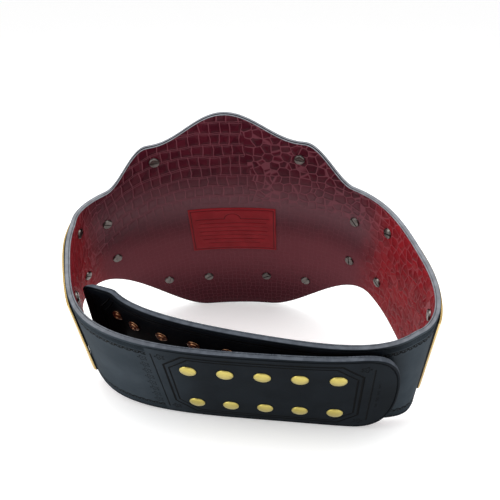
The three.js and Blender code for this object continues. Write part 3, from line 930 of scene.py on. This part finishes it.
# Colours of the label and the metals
LABEL_PLAIN = (0.165, 0.006, 0.010), (0.205, 0.009, 0.014)
LABEL_PRESSED = (0.055, 0.002, 0.005)
GOLD = (0.60, 0.42, 0.155), (0.66, 0.48, 0.19)
NICKEL = (0.085, 0.075, 0.07), (0.16, 0.145, 0.135)
CAP_GOLD = (0.40, 0.325, 0.085), (0.48, 0.40, 0.12)
COPPER = (0.28, 0.14, 0.075), (0.40, 0.21, 0.11)
PLATE_RECESS = (0.15, 0.095, 0.03)
# The plate underside colour is painted shade, near black, for the side that faces the strap.
PLATE_UNDERSIDE_SHADE = (0.006, 0.006, 0.007)
LABEL_NOISE = (60, 3)
LABEL_GRAIN = (900, 4)
LABEL_GRAIN_HEIGHT = 0.06
PRESS_TONES = (0.05, 0.4)
METAL_NOISE = (90, 4, 0.6)
METAL_MARKS = (1500, 3)
MARK_HEIGHT = 0.02
METAL_ROUGH_SPREAD = 0.15
METAL_ROUGH_LESS = 0.07
RECESS_TONES = (0.02, 0.5)
UNDERSIDE_SHADE_LAYER = (PLATE_IN + 1.1, PLATE_IN + 1.4)


def label_look():
    look = Look("label_leather", Roughness=0.5, Specular_IOR_Level=0.1)
    place = look.place()
    plain = look.blend(look.noise(place, *LABEL_NOISE).ramp(*SPREAD_TONES), *LABEL_PLAIN)
    look.paint(look.blend(look.number("press").ramp(*PRESS_TONES), plain, LABEL_PRESSED))
    look.bump(look.noise(place, *LABEL_GRAIN) * LABEL_GRAIN_HEIGHT)
    return look.material


def metal_look(name, tones, roughness, plate=False):
    """A metal of two tones; a plate has dark recesses, and painted shade, near black, on its underside
    and lower edge.
    """
    look = Look(name, Metallic=1.0)
    place = look.place()
    tone = look.noise(place, *METAL_NOISE)
    metal = look.blend(tone.ramp(*SPREAD_TONES), *tones)
    if plate:
        w = look.sheet()[2]
        metal = look.blend(look.number("raised").ramp(*RECESS_TONES), PLATE_RECESS, metal)
        # Painted shade: the plate's underside and the lower part of its edge are near black.
        metal = look.blend(w.ramp(*UNDERSIDE_SHADE_LAYER), PLATE_UNDERSIDE_SHADE, metal)
    look.paint(metal)
    look.rough(tone * METAL_ROUGH_SPREAD + (roughness - METAL_ROUGH_LESS))
    look.bump(look.noise(place, *METAL_MARKS) * MARK_HEIGHT)
    return look.material


# Strap and lining
def strap_mesh(name, sheet, relief, trim):
    """The strap's outline in one layer, with its outline drawn in by trim."""
    s = stations(OUTER_TIP + trim, INNER_TIP - trim, sheet.step, TIP_ROUND)
    share = tip_share(s, OUTER_TIP + trim, INNER_TIP - trim, TIP_ROUND)
    high = STRAP_MIDDLE + (top_edge(s) - trim - STRAP_MIDDLE) * share
    low = STRAP_MIDDLE + (low_edge(s) + trim - STRAP_MIDDLE) * share
    depth = EDGE_DEPTH + EDGE_DEPTH_MORE * smooth((np.abs(s) - EDGE_DEPTH_START) / EDGE_DEPTH_RUN)
    rows = sheet_rows(sheet, s, low, high, depth, TIP_ROUND)
    return sheet_mesh(name, rows, relief)


# Grooves of the strap's own mesh, in millimetres
RELIEF_START = BORDER_START - 40
RELIEF_EASE = 2
RELIEF_DEPTH = 0.45
RELIEF_LONE = (2.4, 0.9)
RELIEF_GROOVE_HALF = 0.8


def strap_relief(s, _, gap):
    """Grooves pressed along the edges, four in the borders and one elsewhere."""
    across = np.abs(s)
    stop = np.where(s < 0, BORDER_STOP["left"], BORDER_STOP["right"])
    border = smooth((across - RELIEF_START) / RELIEF_EASE) * smooth((stop - across) / RELIEF_EASE + 1)
    lone = RELIEF_DEPTH * stroke(gap - RELIEF_LONE[0], RELIEF_LONE[1])
    band = sum(RELIEF_DEPTH * stroke(gap - middle, RELIEF_GROOVE_HALF) for middle in EDGE_GROOVES)
    return -(lone * (1 - border) + band * border)


def make_strap_and_lining():
    strap = strap_mesh("strap_leather", STRAP_SHEET, strap_relief, 0)
    add_piece("strap_leather", strap, leather_look(), "strap")
    lining = strap_mesh("lining_leather", LINING_SHEET, None, LINING_TRIM)
    add_piece("lining_leather", lining, lining_look(), "lining")


# Label: pressed frame with a small arch, and blank ruled lines
LABEL_POINTS = (200, 130)
LABEL_FACE = -1.2
LABEL_BACK = 0.1
LABEL_ROUND = (0.6, 0.5)
FRAME_INSET = 2.6
FRAME_HALF = 1.0
ARCH_DROP = 13
ARCH_RADIUS = 9
ARCH_SQUASH = 1.2
ARCH_HALF = 0.9
TOP_LINE_REACH = 42
RULE_REACHES = (38, 40, 39, 40, 36, 30)
RULE_PITCH = 6.2
RULE_HALF = 0.75
RULE_SHARE = 0.8
PRESS_DEPTH = 0.45


def label_press(x, y):
    """Depth pressed at a place on the label, measured from its middle."""
    half_long = LABEL_LENGTH / 2 - FRAME_INSET
    half_tall = LABEL_HEIGHT / 2 - FRAME_INSET
    level = half_tall - ARCH_DROP
    line = stroke(np.maximum(np.abs(x) - half_long, np.abs(y) - half_tall), FRAME_HALF)
    arch = np.hypot(x, (y - level) * ARCH_SQUASH) - ARCH_RADIUS
    line = line + np.where(y > level, stroke(arch, ARCH_HALF), 0)
    beside = (np.abs(x) > ARCH_RADIUS) * (np.abs(x) < TOP_LINE_REACH)
    line = line + stroke(y - level, ARCH_HALF) * beside
    for k, reach in enumerate(RULE_REACHES):
        rule = stroke(y - level + RULE_PITCH * (k + 1), RULE_HALF)
        line = line + RULE_SHARE * rule * (np.abs(x) < reach)
    return PRESS_DEPTH * np.clip(line, 0, 1)


def border_of(index):
    """The indices round the border of a grid of them."""
    sides = [index[0, :-1], index[:-1, -1], index[-1, :0:-1], index[:0:-1, 0]]
    return np.concatenate(sides).tolist()


def make_label():
    s = np.linspace(-LABEL_LENGTH / 2, LABEL_LENGTH / 2, LABEL_POINTS[0])
    v = np.linspace(LABEL_FOOT, LABEL_FOOT + LABEL_HEIGHT, LABEL_POINTS[1])
    s, v = np.meshgrid(s, v, indexing="ij")
    up = v - LABEL_MIDDLE
    edge = np.minimum(LABEL_LENGTH / 2 - np.abs(s), LABEL_HEIGHT / 2 - np.abs(up))
    rounding = LABEL_ROUND[1] * smooth(1 - edge / LABEL_ROUND[0])
    press = label_press(s, up)
    front = placed(s, v, LABEL_FACE + rounding + press).reshape(-1, 3)
    index = np.arange(s.size).reshape(LABEL_POINTS)
    ring = border_of(index)
    back = placed(s.ravel()[ring], v.ravel()[ring], LABEL_BACK)
    quads = np.stack([index[1:, :-1], index[1:, 1:], index[:-1, 1:], index[:-1, :-1]], -1)
    faces = quads.reshape(-1, 4).tolist()
    base = len(front)
    count = len(ring)
    for k in range(count):
        n = (k + 1) % count
        faces.append([ring[k], ring[n], base + n, base + k])
    faces.append([base + k for k in range(count)])
    fields = {"press": np.concatenate([press.ravel(), np.zeros(count)])}
    mesh = make_mesh("label_leather", np.concatenate([front, back]), faces, fields)
    merge_points(mesh)
    add_piece("label_leather", mesh, label_look(), "label_patch")


# Main plate: gaps from the edge and rises in millimetres, radii as shares of the medallion
RIM_RISE = 1.3
ROPE_GAP = 9.5
ROPE_HALF = 2.2
ROPE_RISE = 0.8
ROPE_TWIST = 1.1
MEDALLION_STEP = 1.4
MEDALLION_DOME = 1.8
BRIM_HALF = 0.06
BRIM_RISE = 1.2
WREATH_RADIUS = 0.8
WREATH_HALF = 0.12
WREATH_RISE = 0.7
WREATH_LEAVES = 14
WREATH_SLANT = 9
STAR_RADIUS = 0.5
STAR_SLOPE = 0.3
STAR_RISE = 1.3
RAYS = 30
RAY_RISE = 0.9
RAY_START = 1.12
RAY_STOP = 13


def medallion_form(s, v):
    """The dome of the medallion."""
    radius = np.hypot(s / MEDALLION_LONG, (v - MEDALLION_MIDDLE) / MEDALLION_TALL)
    dome = MEDALLION_STEP + MEDALLION_DOME * np.sqrt(np.clip(1 - radius**2, 0, 1))
    return np.where(radius < 1, dome, 0)


def main_plate_relief(s, v, gap):
    """Rim, rope border, rays and a medallion with a wreath and a star."""
    rim = RIM_RISE * ridge(gap, RIM_GAP, RIM_GAP)
    rope = ROPE_RISE * ridge(gap, ROPE_GAP, ROPE_HALF) * (0.65 + 0.35 * np.cos((s + v) * ROPE_TWIST))
    x = s / MEDALLION_LONG
    y = (v - MEDALLION_MIDDLE) / MEDALLION_TALL
    radius, angle = np.hypot(x, y), np.arctan2(y, x)
    brim = BRIM_RISE * ridge(radius, 1.0, BRIM_HALF)
    leaves = np.abs(np.sin(angle * WREATH_LEAVES + radius * WREATH_SLANT)) ** 0.6
    wreath = WREATH_RISE * ridge(radius, WREATH_RADIUS, WREATH_HALF) * leaves
    point = STAR_RADIUS * (0.55 + 0.45 * np.cos(5 * (angle - np.pi / 2)))
    star = STAR_RISE * np.clip((point - radius) / STAR_SLOPE, 0, 1)
    rays = RAY_RISE * np.clip(np.cos(angle * RAYS), 0, 1)
    rays = rays * smooth((radius - RAY_START) * 6) * smooth((gap - RAY_STOP) / 3)
    return rim + rope + brim + np.where(radius < 1, wreath + star, rays)


def make_main_plate(look):
    sheet = MAIN_PLATE_SHEET
    s = stations(-PLATE_REACH, PLATE_REACH, sheet.step, PLATE_ROUND)
    share = tip_share(s, -PLATE_REACH, PLATE_REACH, PLATE_ROUND)
    high = MEDALLION_MIDDLE + (top_edge(s) - PLATE_MARGIN - MEDALLION_MIDDLE) * share
    low = MEDALLION_MIDDLE + (low_edge(s) + PLATE_MARGIN - MEDALLION_MIDDLE) * share
    rows = sheet_rows(sheet, s, low, high, np.full_like(s, sheet.gaps[-1]), PLATE_ROUND)
    mesh = sheet_mesh("main_plate_cast", rows, main_plate_relief, medallion_form)
    add_piece("main_plate_cast", mesh, look, "main_plate")


# Side plates, sizes in millimetres
SIDE_RIM = 3.2
BEAD_GAP = 9
BEAD_HALF = 2.0
BEAD_RISE = 0.9
BEAD_TURN = 0.7
ROSETTE_RADIUS = 16
ROSETTE_HALF = 11
ROSETTE_RISE = 1.4
ROSETTE_LEAVES = 4
HUB_RADIUS = 6
HUB_RISE = 1.8
SCROLL_RISE = 0.9
SCROLL_PITCH = 0.42
SCROLL_ARMS = 3
SCROLL_START = 28
SCROLL_STOP = 12


def side_plate_relief(start, s, v, gap):
    """Rim all round with beads, scrolls and a rosette in the middle."""
    along = s - start
    near = np.minimum(gap, np.minimum(along, SIDE_PLATE_LENGTH - along))
    rim = RIM_RISE * ridge(near, SIDE_RIM, SIDE_RIM)
    bead = BEAD_RISE * ridge(near, BEAD_GAP, BEAD_HALF) * np.abs(np.cos((along + v) * BEAD_TURN))
    x = along - SIDE_PLATE_LENGTH / 2
    y = v - STRAP_MIDDLE
    radius, angle = np.hypot(x, y), np.arctan2(y, x)
    leaves = np.abs(np.cos(angle * ROSETTE_LEAVES)) ** 0.5
    inside = radius < ROSETTE_RADIUS + ROSETTE_HALF
    rosette = ROSETTE_RISE * ridge(radius, ROSETTE_RADIUS, ROSETTE_HALF) * leaves * inside
    hub = HUB_RISE * ridge(radius, 0, HUB_RADIUS)
    scroll = SCROLL_RISE * np.clip(np.cos(radius * SCROLL_PITCH - angle * SCROLL_ARMS), 0, 1)
    scroll = scroll * smooth((radius - SCROLL_START) / 4) * smooth((near - SCROLL_STOP) / 3)
    return rim + bead + rosette + hub + scroll


def make_side_plates(look):
    sheet = SIDE_PLATE_SHEET
    for node, start in (("side_plate_left", -SIDE_PLATE_END), ("side_plate_right", SIDE_PLATE_START)):
        s = stations(start, start + SIDE_PLATE_LENGTH, sheet.step, 0)
        wave = SIDE_PLATE_WAVE * np.sin(np.pi * (s - start) / SIDE_PLATE_LENGTH) ** 2
        low = SIDE_PLATE_MARGIN + SIDE_PLATE_WAVE - wave
        high = STRAP_WIDTH - SIDE_PLATE_MARGIN - SIDE_PLATE_WAVE + wave
        rows = sheet_rows(sheet, s, low, high, np.full_like(s, sheet.gaps[-1]), 0)
        relief = partial(side_plate_relief, start)
        mesh = sheet_mesh(node + "_cast", rows, relief, closed_tips=False)
        add_piece(node + "_cast", mesh, look, node)


# Screws: profiles are (radius, height) in millimetres, from the axis back to the axis
SCREW_SIDES = 48
SCREW_FRONT = [(0, -2.0), (2.6, -1.96), (4.3, -1.8)] + arc((4.3, -0.9), 0.9, -75, 0, 5)
SCREW_BACK = [(5.45, -0.3), (5.6, 0.3), (2.2, 0.4), (2.2, 4.4), (0, 4.4)]
SCREW_SEAT = -0.2
SLOT_SIZE = (14.0, 1.35, 2.0)
SLOT_PLANE = -2.0


def screw_places():
    """Each screw's node with its s and v."""
    crown = float(top_edge(0))
    places = []
    for side in (-1, 1):
        for along, up in MAIN_SCREWS:
            places.append((f"main_screw_{len(places) + 1}", side * along * PLATE_REACH, up * crown))
    inset_places = (SIDE_PLATE_START + SIDE_SCREW_INSET, SIDE_PLATE_END - SIDE_SCREW_INSET)
    spots = [(s, v) for s in inset_places for v in (SIDE_SCREW_HIGH, SIDE_SCREW_LOW)]
    for side, label in ((-1, "left"), (1, "right")):
        places += [(f"side_screw_{label}_{k + 1}", side * s, v) for k, (s, v) in enumerate(spots)]
    return places


def screw_mesh():
    """A slotted head that faces -Z, standing on the plane z = 0, with a shank behind it."""
    points, faces = lathe(metres(SCREW_FRONT + SCREW_BACK), SCREW_SIDES)
    body = add_object("screw_body", make_mesh("screw_body", points, faces))
    x, y, z = np.array(SLOT_SIZE) * MM / 2
    middle = SLOT_PLANE * MM
    corners = [(a, b, c + middle) for a in (-x, x) for b in (-y, y) for c in (-z, z)]
    sides = [(0, 1, 3, 2), (4, 6, 7, 5), (0, 4, 5, 1), (2, 3, 7, 6), (0, 2, 6, 4), (1, 5, 7, 3)]
    cutter = add_object("slot_cutter", make_mesh("slot_cutter", corners, sides))
    cut = body.modifiers.new("slot", "BOOLEAN")
    cut.operation = "DIFFERENCE"
    cut.solver = "EXACT"
    cut.object = cutter
    shaped = body.evaluated_get(bpy.context.evaluated_depsgraph_get())
    mesh = bpy.data.meshes.new_from_object(shaped)
    mesh.set_sharp_from_angle(angle=math.radians(SCREW_SHARP_ANGLE))
    bpy.data.objects.remove(body)
    bpy.data.objects.remove(cutter)
    return mesh


def make_screws(look):
    shape = screw_mesh()
    for k, (node, s, v) in enumerate(screw_places()):
        mesh = shape.copy()
        turn = Matrix.Rotation(math.radians(SCREW_TURN * k % 180), 4, "Z")
        mesh.transform(seat(s, v, SCREW_SEAT) @ turn)
        add_piece(node + "_head", mesh, look, node)


# Snaps: profiles from the lining's face at 0.1 mm and from the leather's face, 0.1 mm under it
SEAT_IN = 0.1
SEAT_OUT = LEATHER_OUT - 0.1
CAP_SIDES = 40
CAP_SOCKET = ((0, -0.4), (3.6, -0.4), (3.8, -2.0), (4.2, -2.25), (5.2, -2.2), (5.6, -1.7),
              (5.6, 0.1), (2, 0.2))
CAP_DOME = ((2, 0), (7.1, -0.2), (7.5, 0.25), (7.45, 0.75), (6.9, 1.3), (5.8, 1.85),
            (4.2, 2.35), (2.2, 2.68), (0, 2.78))
STUD_SIDES = 36
STUD_DISC = ((0, -0.9), (3.0, -0.85), (5.0, -0.5), (5.6, 0.1), (2, 0.2))
STUD_KNOB = ((2, 0), (5.6, -0.1), (5.9, 0.25), (5.8, 0.7), (5.3, 1.0), (4.5, 1.1), (3.7, 1.05),
             (3.5, 1.5), (3.55, 2.2), (3.2, 2.6), (2.6, 2.75), (2.0, 2.6), (1.7, 2.1), (1.5, 1.3),
             (0, 1.2))


def make_snaps(node, part, look, inner, outer, sides, places):
    """Snaps turned from a profile on each side of the strap, numbered along the upper row first."""
    profile = [(radius, SEAT_IN + height) for radius, height in inner]
    profile += [(radius, SEAT_OUT + height) for radius, height in outer]
    points, faces = lathe(metres(profile), sides)
    spots = [(s, v) for v in SNAP_ROWS for s in places]
    for k, (s, v) in enumerate(spots):
        name = f"{node}_{k + 1}"
        mesh = make_mesh(f"{name}_{part}", points, faces)
        mesh.transform(seat(s, v, 0))
        add_piece(f"{name}_{part}", mesh, look, name)


def make_caps(look):
    """Dome outside, post through the strap, socket on the lining."""
    places = [-(FIRST_SNAP + column * SNAP_PITCH) for column in range(SNAP_COLUMNS)]
    make_snaps("snap_cap", "dome", look, CAP_SOCKET, CAP_DOME, CAP_SIDES, places)


def make_studs(look):
    """Rivet disc on the lining, post, and a flanged ring with a hollow top outside."""
    places = [MATED_AT + (MATED_STUD - column) * SNAP_PITCH for column in range(STUD_COLUMNS)]
    make_snaps("snap_stud", "knob", look, STUD_DISC, STUD_KNOB, STUD_SIDES, places)


# Stage and lights, in metres and watts
FLOOR_REACH = 12.0
FLOOR_GLOW = 0.28
FLOOR_TONES = (0.86, 0.86, 0.86), (0.88, 0.88, 0.88)
LIGHT_TARGET = (0, 0, 0.1)
LIGHTS = (
    ("top_softbox", (0.0, -0.2, 1.5), (1.6, 1.2), 20),
    ("left_softbox", (-1.4, -0.8, 0.8), (0.9, 1.2), 14),
    ("right_softbox", (1.5, -0.7, 0.9), (0.9, 1.2), 5),
)
WORLD_STRENGTH = 0.8


def make_stage():
    """A wide pale floor."""
    floor = bpy.data.meshes.new("floor")
    signs = ((-1, -1), (1, -1), (1, 1), (-1, 1))
    floor.from_pydata([(x * FLOOR_REACH, y * FLOOR_REACH, 0) for x, y in signs], [], [(0, 1, 2, 3)])
    look = Look("pale_floor", Roughness=0.8, Emission_Color=(1, 1, 1, 1), Emission_Strength=FLOOR_GLOW)
    look.paint(look.blend(look.noise(look.place(), 3, 2), *FLOOR_TONES))
    floor.materials.append(look.material)
    add_object("floor", floor)


def make_lights():
    for name, place, size, power in LIGHTS:
        light = bpy.data.lights.new(name, "AREA")
        light.shape = "RECTANGLE"
        light.size, light.size_y = size
        light.energy = power
        aim_object(add_object(name, light), place, Vector(LIGHT_TARGET) - Vector(place))
    world = bpy.data.worlds.new("studio")
    world.use_nodes = True
    background = world.node_tree.nodes["Background"]
    background.inputs["Color"].default_value = (1, 1, 1, 1)
    background.inputs["Strength"].default_value = WORLD_STRENGTH
    bpy.context.scene.world = world
    bpy.context.scene.view_settings.view_transform = "Standard"


# The photo's viewpoint: place in metres, angles in degrees, sensor and focal length in millimetres
CAMERA_PLACE = (0.08416, -0.55824, 0.39658)
CAMERA_AZIMUTH = 7.32
CAMERA_DOWN = 24.41
CAMERA_LENS = 44.48
CAMERA_SENSOR = 36
CAMERA_NEAR = 0.01
CAMERA_FAR = 60


def make_camera():
    camera = bpy.data.cameras.new("photo_view")
    camera.sensor_width = CAMERA_SENSOR
    camera.lens = CAMERA_LENS
    camera.clip_start = CAMERA_NEAR
    camera.clip_end = CAMERA_FAR
    azimuth, down = math.radians(CAMERA_AZIMUTH), math.radians(CAMERA_DOWN)
    ahead = math.cos(down)
    aim = Vector((-math.sin(azimuth) * ahead, math.cos(azimuth) * ahead, -math.sin(down)))
    viewer = add_object("photo_view", camera)
    aim_object(viewer, CAMERA_PLACE, aim)
    bpy.context.scene.camera = viewer


def main():
    gold = metal_look("gold_plating", GOLD, 0.24, plate=True)
    make_strap_and_lining()
    make_label()
    make_main_plate(gold)
    make_side_plates(gold)
    make_screws(metal_look("dark_nickel", NICKEL, 0.3))
    make_caps(metal_look("cap_gold", CAP_GOLD, 0.38))
    make_studs(metal_look("stud_copper", COPPER, 0.34))
    make_stage()
    make_lights()
    make_camera()


main()
bpy.context.view_layer.update()
